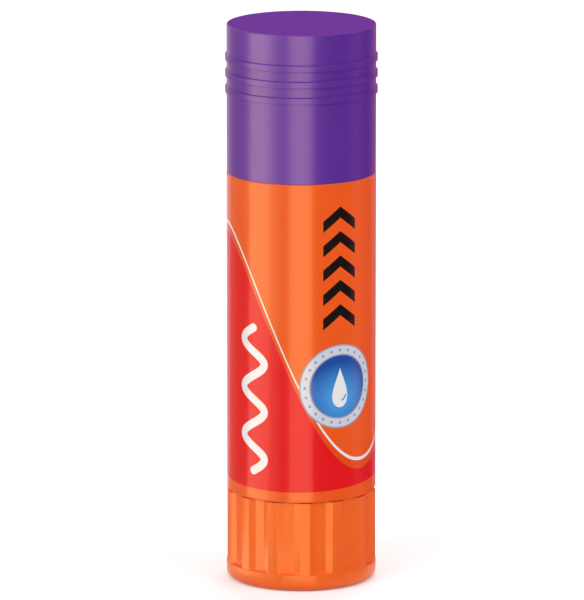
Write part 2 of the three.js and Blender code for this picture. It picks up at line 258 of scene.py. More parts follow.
DROP_SIZE = 3.6
DROP_WIDTH_SHARE = 0.62
DROP_POINT = 1.6
GLINT_BELOW = 1.4
GLINT_RADIUS = 1.2
GLINT_START = -0.2
GLINT_STEP = -0.1
GLINT_STEPS = 10
GLINT_WIDTH = 0.35
RIBBON_END_STEPS = 12

# Colours
PURPLE = "54208F"
# The cap's top is a darker purple than its side, as painted shade on the top.
SHADED_TOP_PURPLE = "5A1884"
ORANGE = "EA5313"
KNOB_ORANGE = "EE5F17"
NATURAL = "DAD6CA"
GLUE_WHITE = "E2DDCF"
PALE_BLUE = "49A2E4"
INKS = {
    "film": "E4E3E1",
    "orange": ORANGE,
    "deep_orange": "E2460F",
    "red": "DE0D16",
    "white": "E4E3E1",
    "black": "17110F",
    "silver": "C9CCD8",
    "silver_edge": "8F94A6",
    "blue": "12489C",
}

# Gloss. A tint colours what an orange surface reflects head on, and so keeps its highlights orange.
WHITE = (1, 1, 1, 1)
ORANGE_TINT = (0.4, 1, 0.58, 1)
PLASTIC_SHINE = 0.5
DISC_SHINE = 0.12
INK_SHINE = 0.4
RED_SHINE = 0.17
GLOSS_SPREAD = 0.02
PEEL_HEIGHT = 0.0005
DISC_PEEL_HEIGHT = 0.002
FINE_PEEL_SHARE = 1 / 6
NOISE_SPAN = (0.3, 0.7)
FILM_ROUGHNESS = 0.23
FILM_GLOSS_SPREAD = 0.03
FILM_COAT = 0.15
FILM_COAT_ROUGHNESS = 0.12
FILM_RIPPLE_HEIGHT = 0.004
FILM_GRAIN_HEIGHT = 0.0003
GLUE_DRAG_HEIGHT = 0.02
GLUE_GRAIN_HEIGHT = 0.01

# Studio. The floor fades into the background between two distances from the stick.
BACKGROUND = 1.0
AMBIENT = 0.6
FLOOR_COLOUR = 0.8
FLOOR_LIFT = 0.22
FLOOR_SIZE = 6000
FLOOR_FADE = (350, 1100)

# Cards round the stick, bright and dark, which only its gloss shows. Each is a band of the front view's
# reflections: azimuths on the wall, 0 in front and 90 at its right, and the card's strength.
# It lies on the floor and then stands up, so that its reflection runs the whole height of the stick.
CARD_NEAR = 18
CARD_BEND = 480
CARD_TOP = 520
CARD_LIFT = 0.8
CARD_STEPS = 8
CARD_COLOUR = (1, 0.69, 0.47, 1)
RIM_COLOUR = (1, 0.69, 0.8, 1)
ROSE_COLOUR = (1, 0.34, 0.48, 1)
BANDS = [
    (-90, -71, 1.1, RIM_COLOUR),
    (-71, -43, 0.7, CARD_COLOUR),
    (-43, -24, 6.1, CARD_COLOUR),
    (-24, -17, 2.6, CARD_COLOUR),
    (-17, -9, 0.7, CARD_COLOUR),
    (-9, 8, 5.4, CARD_COLOUR),
    (8, 41, 0.03, CARD_COLOUR),
    (41, 51, 0.8, ROSE_COLOUR),
    (51, 68, 0.2, ROSE_COLOUR),
    (68, 90, 0.68, ROSE_COLOUR),
]

# Camera. The scale is the photograph's at the aim point, where the stick's axis is AXIS_X pixels across.
IMAGE_WIDTH = 584
IMAGE_HEIGHT = 600
AXIS_X = 301.3
PIXELS_PER_MM = 5.604
CAMERA_DISTANCE = 1155
CAMERA_ELEVATION = 12.28
AIM_HEIGHT = 50.4
SENSOR = 36


def bottom(node):
    """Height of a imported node's lowest point."""
    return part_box(node)[0].z / MM


def top(node):
    """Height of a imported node's highest point."""
    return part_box(node)[1].z / MM


def reach(node):
    """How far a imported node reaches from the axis."""
    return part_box(node)[1].x / MM


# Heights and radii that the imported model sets
knob_top = top("knob")
rim_radius = reach("knob")
shoulder = bottom("cap")
neck_top = top("barrel")
skirt_bottom = bottom("barrel")
body_radius = reach("barrel")
label_bottom = bottom("label")
label_top = top("label")
label_radius = reach("label")
cap_top = top("cap")
cap_radius = reach("cap") - GRIP_RING_HEIGHT
carrier_bottom = bottom("carrier")
carrier_top = top("carrier")
carrier_radius = reach("carrier")
glue_top = top("glue")
glue_radius = reach("glue")
spindle_bottom = bottom("spindle")
spindle_top = top("spindle")

# Heights and radii worked out from those
land_radius = label_radius + KNOB_OVER_LABEL
groove_floor_radius = land_radius - GROOVE_DEPTH
knob_bore = groove_floor_radius - KNOB_WALL
knob_floor_top = FOOT_HEIGHT + KNOB_FLOOR
cap_bore = cap_radius - CAP_WALL
neck_radius = cap_bore - CAP_NECK_CLEARANCE
bore_radius = neck_radius - NECK_WALL
body_bottom = knob_top + SEAM_GAP
bulkhead_top = body_bottom + BULKHEAD_THICKNESS
rib_top = neck_top - RIB_BELOW_NECK_TOP
flange_top = bulkhead_top + FLANGE_THICKNESS
thread_bottom = flange_top + THREAD_START
thread_top = spindle_top - THREAD_TIP_SETBACK
cup_floor = carrier_bottom + CARRIER_FLOOR
nut_top = carrier_top - NUT_BELOW_RIM
nut_radius = NUT_BORE + NUT_WALL
notch_width = RIB_WIDTH + 2 * RIB_CLEARANCE
rib_centres = [FULL_TURN * (index + 0.5) / RIB_COUNT for index in range(RIB_COUNT)]
film_length = math.tau * label_radius
film_height = label_top - label_bottom


# Meshes

# A corner of an outline. Its share says how much of each column's depth is taken off the radius there.
Corner = namedtuple("Corner", "radius height fillet share", defaults=(0, 0))


def rounded(corners):
    """The points (radius, height, share) of a closed outline, with its corners' fillets as arcs."""
    points = []
    for index, corner in enumerate(corners):
        here = Vector((corner.radius, corner.height))
        if corner.fillet == 0:
            points.append((*here, corner.share))
            continue
        before = (Vector(corners[index - 1][:2]) - here).normalized()
        after = (Vector(corners[(index + 1) % len(corners)][:2]) - here).normalized()
        half = before.angle(after) / 2
        centre = here + (before + after).normalized() * corner.fillet / math.sin(half)
        spoke = here + before * corner.fillet / math.tan(half) - centre
        sweep = math.copysign(math.pi - 2 * half, after.x * before.y - after.y * before.x)
        steps = FILLET_STEPS * (2 if corner.fillet > LARGE_FILLET else 1)
        for step in range(steps + 1):
            angle = sweep * step / steps
            cosine, sine = math.cos(angle), math.sin(angle)
            radius = centre.x + cosine * spoke.x - sine * spoke.y
            height = centre.y + sine * spoke.x + cosine * spoke.y
            points.append((radius, height, corner.share))
    return points


def bead(radius, height, width, rise, slope, fillet):
    """Corners of a low ring round a wall, from its lower foot up. It stands inwards if rise is negative."""
    half = width / 2
    return [
        Corner(radius, height - half, TINY_FILLET),
        Corner(radius + rise, height - half + slope, fillet),
        Corner(radius + rise, height + half - slope, fillet),
        Corner(radius, height + half, TINY_FILLET),
    ]


def columns(count=ROUND_COLUMNS, centres=(), section=()):
    """Where the upright lines of a turned mesh stand, as (angle, depth).

    They are evenly spaced, with a feature's section of (offset, depth) set in at each centre.
    """
    feature_reach = max((abs(offset) for offset, _ in section), default=0)
    found = []
    for index in range(count):
        angle = FULL_TURN * index / count
        apart = [abs((angle - centre + HALF_TURN) % FULL_TURN - HALF_TURN) for centre in centres]
        if min(apart, default=FULL_TURN) > feature_reach + COLUMN_MARGIN:
            found.append((angle, 0))
    for centre in centres:
        found += [((centre + offset) % FULL_TURN, depth) for offset, depth in section]
    return sorted(found)


def turned(outline, uprights):
    """Vertices and faces of a turned body. The outline is a loop that runs up the outside."""
    vertices, rings = [], []
    for radius, height, share in outline:
        if radius == 0:
            rings.append([len(vertices)] * len(uprights))
            vertices.append((0, 0, height))
            continue
        rings.append(range(len(vertices), len(vertices) + len(uprights)))
        for angle, depth in uprights:
            at = radius - share * depth
            turn = math.radians(angle)
            vertices.append((at * math.cos(turn), at * math.sin(turn), height))
    faces = []
    for index, lower in enumerate(rings):
        upper = rings[(index + 1) % len(rings)]
        for column in range(len(uprights)):
            after = (column + 1) % len(uprights)
            corners = [lower[column], lower[after], upper[after], upper[column]]
            face = list(dict.fromkeys(corners))
            if len(face) > 2:
                faces.append(face)
    return vertices, faces


def mesh_object(name, vertices, faces):
    """An object whose mesh has these vertices, given in millimetres."""
    mesh = bpy.data.meshes.new(name)
    mesh.from_pydata([Vector(vertex) * MM for vertex in vertices], [], faces)
    mesh.update()
    piece = bpy.data.objects.new(name, mesh)
    bpy.context.scene.collection.objects.link(piece)
    return piece


def apply_modifiers(piece):
    """Puts the result of a piece's modifiers into its mesh."""
    graph = bpy.context.evaluated_depsgraph_get()
    mesh = bpy.data.meshes.new_from_object(piece.evaluated_get(graph), depsgraph=graph)
    piece.modifiers.clear()
    piece.data = mesh


def combine(piece, others, operation):
    """Joins other objects to a piece, or cuts them out of it, and removes them."""
    for other in others:
        modifier = piece.modifiers.new("combine", "BOOLEAN")
        modifier.operation = operation
        modifier.solver = "MANIFOLD"
        modifier.object = other
    apply_modifiers(piece)
    for other in others:
        bpy.data.objects.remove(other)
    weld(piece)


def weld(piece):
    """Merges the slivers that joining leaves, into triangles, and drops the empty material slot."""
    mesh = bmesh.new()
    mesh.from_mesh(piece.data)
    bmesh.ops.remove_doubles(mesh, verts=mesh.verts[:], dist=WELD * MM)
    bmesh.ops.dissolve_degenerate(mesh, edges=mesh.edges[:], dist=WELD * MM)
    bmesh.ops.triangulate(mesh, faces=mesh.faces[:])
    mesh.to_mesh(piece.data)
    mesh.free()
    piece.data.materials.clear()


def smooth(piece):
    """Shades a piece smooth between its sharp edges, with flat faces kept flat up to their fillets."""
    piece.data.shade_smooth()
    piece.data.set_sharp_from_angle(angle=math.radians(SHARP_ANGLE))
    modifier = piece.modifiers.new("normals", "WEIGHTED_NORMAL")
    modifier.keep_sharp = True
    apply_modifiers(piece)


def place(piece, node, body, materials):
    """Gives a piece its materials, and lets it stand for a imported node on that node's body."""
    for material in materials:
        piece.data.materials.append(material)
    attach(piece, body)
    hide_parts(node)


# Materials


class Nodes:
    """The nodes of a world or a material, with short ways to add and join them."""

    def __init__(self, owner):
        owner.use_nodes = True
        self.tree = owner.node_tree

    def set(self, socket, value):
        """Joins a socket to an output, or gives it a number or a colour."""
        if isinstance(value, bpy.types.NodeSocket):
            self.tree.links.new(value, socket)
        else:
            socket.default_value = value

    def add(self, kind, inputs=(), **settings):
        """A new node with some settings, and with a value or an output for some of its inputs."""
        node = self.tree.nodes.new("ShaderNode" + kind)
        for name, value in settings.items():
            setattr(node, name, value)
        for key, value in dict(inputs).items():
            self.set(node.inputs[key], value)
        return node

    def between(self, factor, low, high, at=(0, 1), curve="LINEAR"):
        """A number that goes from low to high as factor goes between the two values of at."""
        inputs = {"Value": factor, "From Min": at[0], "From Max": at[1], "To Min": low, "To Max": high}
        return self.add("MapRange", inputs, interpolation_type=curve).outputs["Result"]


class Surface(Nodes):
    """A material's nodes, with ways to add patterns and relief."""

    def __init__(self, name):
        self.material = bpy.data.materials.new(name)
        super().__init__(self.material)
        self.shader = self.tree.nodes["Principled BSDF"]

    @cached_property
    def position(self):
        """An output that says where a place is on its object."""
        return self.add("TexCoord").outputs["Object"]

    def finish(self, **inputs):
        """Sets inputs of the material's shader, named with _ for each space."""
        for name, value in inputs.items():
            self.set(self.shader.inputs[name.replace("_", " ")], value)

    def show(self, shader_output):
        """Gives the material another shader in place of the one it came with."""
        self.tree.nodes.remove(self.shader)
        self.set(self.tree.nodes["Material Output"].inputs["Surface"], shader_output)

    def noise(self, size, detail=2, stretch=(1, 1, 1)):
        """Noise whose features are about that many millimetres across, stretched along each axis."""
        scale = [1 / (size * MM * along) for along in stretch]
        mapped = self.add("Mapping", {"Vector": self.position, "Scale": scale}).outputs["Vector"]
        return self.add("TexNoise", {"Vector": mapped, "Scale": 1, "Detail": detail}).outputs["Fac"]

    def blend(self, factor, first, second):
        """A colour between two others."""
        inputs = {"Factor": factor, "A": first, "B": second}
        return self.add("Mix", inputs, data_type="RGBA").outputs["Result"]

    def varied(self, factor, colour, low, high):
        """A colour that goes between two shares of itself."""
        return self.blend(factor, shade(colour, low), shade(colour, high))

    def distance(self, point):
        """How many millimetres a place is from a point."""
        inputs = {0: self.position, 1: Vector(point) * MM}
        offset = self.add("VectorMath", inputs, operation="SUBTRACT").outputs["Vector"]
        inputs = {0: offset, 1: (1 / MM, 1 / MM, 1 / MM)}
        scaled = self.add("VectorMath", inputs, operation="MULTIPLY").outputs["Vector"]
        return self.add("VectorMath", {0: scaled}, operation="LENGTH").outputs["Value"]

    def bump(self, *layers):
        """Adds relief to the surface: each layer is (noise output, height in millimetres)."""
        inputs = {}
        for relief, height in layers:
            inputs |= {"Height": relief, "Distance": height * MM}
            inputs["Normal"] = self.add("Bump", inputs).outputs["Normal"]
        self.finish(Normal=inputs["Normal"])


def linear(hex_colour):
    """A colour written as RRGGBB, in linear light, with alpha."""
    found = []
    for start in (0, 2, 4):
        level = int(hex_colour[start : start + 2], 16) / 255
        found.append(level / 12.92 if level <= 0.04045 else ((level + 0.055) / 1.055) ** 2.4)
    return (*found, 1)


def shade(colour, share):
    """A linear colour made darker or lighter by a share."""
    return (*(min(level * share, 1) for level in colour[:3]), 1)


def moulded(name, colour, roughness, shine=PLASTIC_SHINE, peel=PEEL_HEIGHT, softness=0, tint=WHITE):
    """Moulded plastic: faint flow marks, a little uneven gloss and a fine orange peel."""
    surface = Surface(name)
    flow = surface.noise(size=7, detail=3, stretch=(1, 1, 4))
    patches = surface.noise(size=2.5, detail=1)
    coarse = surface.noise(size=1.1, detail=1)
    fine = surface.noise(size=0.16, detail=1)
    surface.bump((coarse, peel), (fine, peel * FINE_PEEL_SHARE))
    surface.finish(
        Base_Color=surface.varied(flow, linear(colour), low=0.95, high=1.05),
        Roughness=surface.between(patches, roughness - GLOSS_SPREAD, roughness + GLOSS_SPREAD),
        Specular_IOR_Level=shine,
        Specular_Tint=tint,
    )
    if softness:
        surface.finish(
            Subsurface_Weight=softness,
            Subsurface_Radius=(1, 0.9, 0.75),
            Subsurface_Scale=MM,
        )
    return surface.material


def ink(name, colour, shine=INK_SHINE, tint=WHITE, glow=None):
    """Ink under the label's clear film. A glow is (second colour, centre, inner and outer distance)."""
    surface = Surface(name)
    base = linear(colour)
    if glow:
        second, centre, near, far = glow
        fade = surface.between(surface.distance(centre), 1, 0, at=(near, far))
        paint = surface.blend(fade, base, linear(second))
    else:
        paint = surface.varied(surface.noise(size=9), base, low=0.97, high=1.03)
    patches = surface.noise(size=2.2, detail=3)
    low, high = FILM_ROUGHNESS - FILM_GLOSS_SPREAD, FILM_ROUGHNESS + FILM_GLOSS_SPREAD
    ripple = surface.noise(size=6, detail=1, stretch=(1, 1, 2.5))
    surface.bump((ripple, FILM_RIPPLE_HEIGHT), (surface.noise(size=0.5), FILM_GRAIN_HEIGHT))
    surface.finish(
        Base_Color=paint,
        Roughness=surface.between(patches, low, high, at=NOISE_SPAN),
        Specular_IOR_Level=shine,
        Specular_Tint=tint,
        Coat_Weight=FILM_COAT,
        Coat_Roughness=FILM_COAT_ROUGHNESS,
    )
    return surface.material


def waxy(name, colour):
    """The glue: soft, pale and a little see-through, with fine drag marks."""
    surface = Surface(name)
    clouds = surface.noise(size=3, detail=4)
    patches = surface.noise(size=0.9, detail=4)
    drag = surface.noise(size=0.35, detail=3, stretch=(8, 1, 1))
    surface.bump((drag, GLUE_DRAG_HEIGHT), (surface.noise(size=0.25), GLUE_GRAIN_HEIGHT))
    surface.finish(
        Base_Color=surface.varied(clouds, linear(colour), low=0.96, high=1.02),
        Roughness=surface.between(patches, low=0.34, high=0.56, at=NOISE_SPAN),
        Subsurface_Weight=0.5,
        Subsurface_Radius=(1, 0.95, 0.8),
        Subsurface_Scale=1.5 * MM,
    )
    return surface.material


# Cap


def make_cap(side_plastic, shaded_top_plastic):
    """A straight cup, mouth down, with grip rings outside and a snap bead inside."""
    ceiling = cap_top - CAP_TOP_THICKNESS
    rings = []
    for index in reversed(range(GRIP_RING_COUNT)):
        height = cap_top - GRIP_RING_DROP - index * GRIP_RING_PITCH
        ring = (GRIP_RING_WIDTH, GRIP_RING_HEIGHT, GRIP_RING_SLOPE, GRIP_RING_FILLET)
        rings += bead(cap_radius, height, *ring)
    snap = (CAP_BEAD_WIDTH, -CAP_BEAD_RISE, CAP_BEAD_SLOPE, TINY_FILLET)
    outline = rounded(
        [
            Corner(cap_bore + CAP_MOUTH_CHAMFER, shoulder, TINY_FILLET),
            Corner(cap_radius, shoulder, CAP_EDGE_FILLET),
            *rings,
            Corner(cap_radius, cap_top, CAP_TOP_FILLET),
            Corner(0, cap_top),
            Corner(0, ceiling),
            Corner(cap_bore, ceiling, CAP_CORNER_FILLET),
            *reversed(bead(cap_bore, shoulder + CAP_BEAD_HEIGHT, *snap)),
            Corner(cap_bore, shoulder + CAP_MOUTH_CHAMFER, TINY_FILLET),
        ]
    )
    piece = mesh_object("cap_shell", *turned(outline, columns()))
    smooth(piece)
    place(piece, "cap", "top", [side_plastic, shaded_top_plastic])
    # The top's flat faces take the second material, whose darker purple is painted shade.
    for face in piece.data.polygons:
        if face.normal.z > LEVEL_NORMAL and face.center.z > (cap_top - CAP_TOP_FILLET) * MM:
            face.material_index = 1


# Barrel


def rib_section(radius, height, width):
    """The section of (offset, depth) of an upright rib or notch whose walls stand at that radius."""
    edge = math.degrees(math.asin(width / 2 / radius))
    corner = math.degrees(RIB_FILLET / radius)
    left = [(-edge + corner * along, height * share) for along, share in RIB_EDGE]
    right = [(-offset, depth) for offset, depth in reversed(left)]
    return left + right


def make_barrel(material):
    """Body, neck for the cap, bulkhead for the spindle, skirt inside the knob, and ribs in the bore."""
    skirt_radius = knob_bore - SKIRT_CLEARANCE
    skirt_bore = skirt_radius - SKIRT_WALL
    groove_radius = skirt_radius - SNAP_GROOVE_DEPTH
    groove_bottom = SNAP_HEIGHT - SNAP_GROOVE_WIDTH / 2
    groove_top = SNAP_HEIGHT + SNAP_GROOVE_WIDTH / 2
    body_edge = knob_top + VISIBLE_SEAM
    snap = (NECK_BEAD_WIDTH, NECK_BEAD_RISE, NECK_BEAD_SLOPE, NECK_BEAD_FILLET)
    outline = rounded(
        [
            Corner(skirt_bore, skirt_bottom, TINY_FILLET),
            Corner(skirt_radius, skirt_bottom, SKIRT_EDGE_FILLET),
            Corner(skirt_radius, groove_bottom, TINY_FILLET),
            Corner(groove_radius, groove_bottom, TINY_FILLET),
            Corner(groove_radius, groove_top, TINY_FILLET),
            Corner(skirt_radius, groove_top, TINY_FILLET),
            Corner(skirt_radius, body_edge, TINY_FILLET),
            Corner(body_radius, body_edge, SEAM_FILLET),
            Corner(body_radius, shoulder, BODY_EDGE_FILLET),
            Corner(neck_radius, shoulder, TINY_FILLET),
            *bead(neck_radius, neck_top - NECK_BEAD_DROP, *snap),
            Corner(neck_radius, neck_top, NECK_RIM_FILLET),
            Corner(bore_radius, neck_top, NECK_RIM_FILLET),
            Corner(bore_radius, rib_top + RIB_LEAD_IN / 2),
            Corner(bore_radius, rib_top, share=RIB_LEAD_IN_BULGE),
            Corner(bore_radius, rib_top - RIB_LEAD_IN / 2, share=1),
            Corner(bore_radius, bulkhead_top, share=1),
            Corner(BULKHEAD_HOLE_RADIUS, bulkhead_top, TINY_FILLET),
            Corner(BULKHEAD_HOLE_RADIUS, body_bottom, TINY_FILLET),
            Corner(skirt_bore, body_bottom, TINY_FILLET),
        ]
    )
    uprights = columns(centres=rib_centres, section=rib_section(bore_radius, RIB_HEIGHT, RIB_WIDTH))
    piece = mesh_object("barrel_tube", *turned(outline, uprights))
    smooth(piece)
    place(piece, "barrel", "body", [material])


# Knob


def groove_section():
    """The section of (offset, depth) of a grip groove: a flat floor between two sloping walls."""
    mouth = GROOVE_MOUTH_SHARE * HALF_TURN / GROOVE_COUNT

    def on_land(angle, fillet=0):
        turn = math.radians(angle)
        return Corner(land_radius * math.sin(turn), land_radius * math.cos(turn), fillet)

    half = GROOVE_FLOOR_WIDTH / 2
    section = rounded(
        [
            on_land(-mouth - GROOVE_BESIDE),
            on_land(-mouth, GROOVE_MOUTH_FILLET),
            Corner(-half, groove_floor_radius, GROOVE_FLOOR_FILLET),
            Corner(half, groove_floor_radius, GROOVE_FLOOR_FILLET),
            on_land(mouth, GROOVE_MOUTH_FILLET),
            on_land(mouth + GROOVE_BESIDE),
        ]
    )
    return [(math.degrees(math.atan2(x, y)), max(land_radius - math.hypot(x, y), 0)) for x, y, _ in section]


def make_knob(material):
    """The turning base: a grooved cup with a socket for the spindle and a foot ring underneath."""
    foot_inner = rim_radius - KNOB_EDGE_FILLET - FOOT_WIDTH
    gate_top = FOOT_HEIGHT - GATE_DEPTH
    snap = (SNAP_RING_WIDTH, -SNAP_RING_RISE, SNAP_RING_SLOPE, SNAP_RING_FILLET)
    groove_end = [
        Corner(land_radius, RIM_BAND_HEIGHT + GROOVE_END_LENGTH * along, share=share)
        for along, share in GROOVE_END
    ]
    outline = rounded(
        [
            Corner(0, gate_top),
            Corner(GATE_RADIUS, gate_top, TINY_FILLET),
            Corner(GATE_RADIUS, FOOT_HEIGHT, TINY_FILLET),
            Corner(foot_inner, FOOT_HEIGHT, FOOT_FILLET),
            Corner(foot_inner, 0, FOOT_FILLET),
            Corner(rim_radius, 0, KNOB_EDGE_FILLET),
            Corner(rim_radius, RIM_BAND_HEIGHT, RIM_BAND_FILLET),
            *groove_end,
            Corner(land_radius, knob_top, SEAM_FILLET, share=1),
            Corner(knob_bore, knob_top, TINY_FILLET),
            *reversed(bead(knob_bore, SNAP_HEIGHT, *snap)),
            Corner(knob_bore, knob_floor_top, FOOT_FILLET),
            Corner(BOSS_RADIUS, knob_floor_top, FOOT_FILLET),
            Corner(BOSS_RADIUS, knob_top, FOOT_FILLET),
            Corner(0, knob_top),
        ]
    )
    centres = [GROOVE_PHASE + FULL_TURN * index / GROOVE_COUNT for index in range(GROOVE_COUNT)]
    uprights = columns(centres=centres, section=groove_section())
    piece = mesh_object("knob_base", *turned(outline, uprights))
    socket_flats = STUB_ACROSS_FLATS + 2 * SOCKET_CLEARANCE
    socket_floor = spindle_bottom - SOCKET_END_CLEARANCE
    combine(piece, [hexagon("socket", socket_flats, socket_floor, knob_top + OVERRUN)], "DIFFERENCE")
    smooth(piece)
    place(piece, "knob", "base", [material])


# Spindle and carrier


def hexagon(name, across_flats, low, high):
    """A hexagonal bar on the axis."""
    corner = across_flats / math.sqrt(3)
    outline = rounded([Corner(0, low), Corner(corner, low), Corner(corner, high), Corner(0, high)])
    return mesh_object(name, *turned(outline, columns(count=6)))


def thread_ridge(name, root, crest, root_width, crest_width, low, length, lag):
    """A left-hand helical ridge that fades out at its ends.

    The lag, in turns, sets it beside the spindle's own ridge, which has none.
    """
    steps = round(length / THREAD_LEAD * THREAD_STEPS_PER_TURN)
    fade_steps = THREAD_STEPS_PER_TURN * THREAD_FADE_TURNS
    vertices, faces = [], []
    for step in range(steps + 1):
        height = low + length * step / steps
        turn = math.tau * (lag - (height - thread_bottom) / THREAD_LEAD)
        fade = min(1, (step + 0.5) / fade_steps, (steps - step + 0.5) / fade_steps)
        tip = root + (crest - root) * fade
        section = [
            (root, height - root_width / 2),
            (tip, height - crest_width / 2),
            (tip, height + crest_width / 2),
            (root, height + root_width / 2),
        ]
        if crest < root:
            section.reverse()
        vertices += [(at * math.cos(turn), at * math.sin(turn), level) for at, level in section]
    last = 4 * steps
    for start in range(0, last, 4):
        for side in range(4):
            here, after = start + side, start + (side + 1) % 4
            faces.append((here, after, after + 4, here + 4))
    faces += [(3, 2, 1, 0), (last, last + 1, last + 2, last + 3)]
    return mesh_object(name, vertices, faces)


def make_spindle(material):
    """The left-hand lead screw, with a thrust flange on the bulkhead and a hexagonal stub in the knob."""
    outline = rounded(
        [
            Corner(0, knob_top),
            Corner(JOURNAL_RADIUS, knob_top, TINY_FILLET),
            Corner(JOURNAL_RADIUS, bulkhead_top, TINY_FILLET),
            Corner(FLANGE_RADIUS, bulkhead_top, TINY_FILLET),
            Corner(FLANGE_RADIUS, flange_top, FLANGE_FILLET),
            Corner(CORE_RADIUS, flange_top, FLANGE_FILLET),
            Corner(CORE_RADIUS, spindle_top - SPINDLE_TIP_CHAMFER, FLANGE_FILLET),
            Corner(CORE_RADIUS - SPINDLE_TIP_CHAMFER, spindle_top, FLANGE_FILLET),
            Corner(0, spindle_top),
        ]
    )
    piece = mesh_object("spindle_screw", *turned(outline, columns(count=THREAD_STEPS_PER_TURN)))
    stub = hexagon("stub", STUB_ACROSS_FLATS, spindle_bottom, knob_top + OVERRUN)
    ridge = thread_ridge(
        "ridge",
        root=CORE_RADIUS - THREAD_SINK,
        crest=THREAD_RADIUS,
        root_width=THREAD_ROOT_WIDTH,
        crest_width=THREAD_CREST_WIDTH,
        low=thread_bottom,
        length=thread_top - thread_bottom,
        lag=0,
    )
    combine(piece, [stub, ridge], "UNION")
    smooth(piece)
    place(piece, "spindle", "base", [material])


def make_carrier(material):
    """A cup for the glue, with notches for the guide ribs and a threaded nut in its middle."""
    outline = rounded(
        [
            Corner(NUT_BORE, carrier_bottom, TINY_FILLET),
            Corner(carrier_radius, carrier_bottom, CARRIER_EDGE_FILLET, share=1),
            Corner(carrier_radius, carrier_top, TINY_FILLET, share=1),
            Corner(CUP_RADIUS, carrier_top, TINY_FILLET),
            Corner(CUP_RADIUS, cup_floor, CARRIER_EDGE_FILLET),
            Corner(nut_radius, cup_floor, CARRIER_EDGE_FILLET),
            Corner(nut_radius, nut_top, CARRIER_EDGE_FILLET),
            Corner(NUT_BORE, nut_top, TINY_FILLET),
        ]
    )
    notch = rib_section(carrier_radius, carrier_radius - GLUE_NOTCH_RADIUS, notch_width)
    piece = mesh_object("carrier_cup", *turned(outline, columns(centres=rib_centres, section=notch)))
    ridge = thread_ridge(
        "nut_ridge",
        root=NUT_BORE + THREAD_SINK,
        crest=CORE_RADIUS + THREAD_CLEARANCE,
        root_width=THREAD_LEAD - THREAD_CREST_WIDTH - 2 * THREAD_CLEARANCE,
        crest_width=THREAD_LEAD - THREAD_ROOT_WIDTH - 2 * THREAD_CLEARANCE,
        low=carrier_bottom + NUT_THREAD_START,
        length=NUT_THREAD_TURNS * THREAD_LEAD,
        lag=0.5,
    )
    combine(piece, [ridge], "UNION")
    smooth(piece)
    place(piece, "carrier", "lift", [material])


# Glue


def notched(radius, height, fillet=0):
    """A corner of the glue's side or edge, with as much of its share as lies outside the notches."""
    depth = glue_radius - GLUE_NOTCH_RADIUS
    return Corner(radius, height, fillet, max(0, radius - GLUE_NOTCH_RADIUS) / depth)


def worn_height(x, y, height):
    """The height of a point near the glue's top, domed and smeared by use."""
    along = Vector((x / SMEAR_LENGTH, y / SMEAR_WIDTH, 0))
    pitted = Vector((x / PIT_SIZE, y / PIT_SIZE, PIT_PLANE))
    dome = GLUE_DOME * (x * x + y * y) / glue_radius**2
    ridges = SMEAR_HEIGHT * (noise.noise(along) - 1) / 2
    pits = PIT_HEIGHT * (noise.noise(pitted) - 1) / 2
    near_top = max(0, 1 - (glue_top - height) / WORN_DEPTH)
    return height + (ridges + pits - dome) * near_top


def make_glue(material):
    """A partly used column, seated in the carrier, with the hole that the spindle leaves in it."""
    in_cup = CUP_RADIUS - GLUE_FIT
    over_nut = nut_radius + GLUE_FIT
    edge = GLUE_SHOULDER_FILLET
    corners = [
        Corner(over_nut, cup_floor),
        Corner(in_cup, cup_floor, TINY_FILLET),
        Corner(in_cup, carrier_top),
        notched(glue_radius, carrier_top, TINY_FILLET),
        notched(glue_radius, glue_top - edge),
    ]
    for step in range(1, GLUE_SHOULDER_STEPS + 1):
        angle = math.pi / 2 * step / GLUE_SHOULDER_STEPS
        inset, fall = edge - edge * math.cos(angle), edge - edge * math.sin(angle)
        corners.append(notched(glue_radius - inset, glue_top - fall))
    outer = glue_radius - edge
    inner = NUT_BORE + GLUE_HOLE_FILLET
    for step in range(1, GLUE_TOP_RINGS):
        corners.append(Corner(outer + (inner - outer) * step / GLUE_TOP_RINGS, glue_top))
    corners += [
        Corner(NUT_BORE, glue_top, GLUE_HOLE_FILLET),
        Corner(NUT_BORE, nut_top),
        Corner(over_nut, nut_top),
    ]
    notch = rib_section(glue_radius, glue_radius - GLUE_NOTCH_RADIUS, notch_width)
    vertices, faces = turned(rounded(corners), columns(centres=rib_centres, section=notch))
    worn = [(x, y, worn_height(x, y, height)) for x, y, height in vertices]
    piece = mesh_object("glue_column", worn, faces)
    smooth(piece)
    place(piece, "glue", "lift", [material])


# The label's print


def disc(x, y, size, count=CURVE_POINTS):
    """A round outline about a centre."""
    turns = [math.tau * index / count for index in range(count)]
    return [(x + size / 2 * math.cos(turn), y + size / 2 * math.sin(turn)) for turn in turns]


def ribbon(centre_line, width):
    """The outline of a line of some width, with round ends."""
    half = width / 2
    points = [Vector(point) for point in centre_line]
    left, right = [], []
    for index, point in enumerate(points):
        before, after = points[max(index - 1, 0)], points[min(index + 1, len(points) - 1)]
        along = (after - before).normalized()
        side = Vector((-along.y, along.x)) * half
        left.append(point + side)
        right.append(point - side)
    ends = []
    for at, neighbour in ((points[-1], points[-2]), (points[0], points[1])):
        heading = math.atan2(at.y - neighbour.y, at.x - neighbour.x)
        steps = range(1, RIBBON_END_STEPS)
        turns = [heading - math.pi / 2 + math.pi * step / RIBBON_END_STEPS for step in steps]
        ends.append([at + Vector((math.cos(turn), math.sin(turn))) * half for turn in turns])
    outline = [*right, *ends[0], *reversed(left), *ends[1]]
    return [tuple(point) for point in outline]


def stripe(lower, upper):
    """The outline of a band right across the film, between two curves that give a height for each x."""
    margin = film_length / 2 + FILM_OVERLAP + OVERRUN
    xs = [margin * (index / CURVE_POINTS - 1) for index in range(2 * CURVE_POINTS + 1)]
    return [(x, lower(x)) for x in xs] + [(x, upper(x)) for x in reversed(xs)]


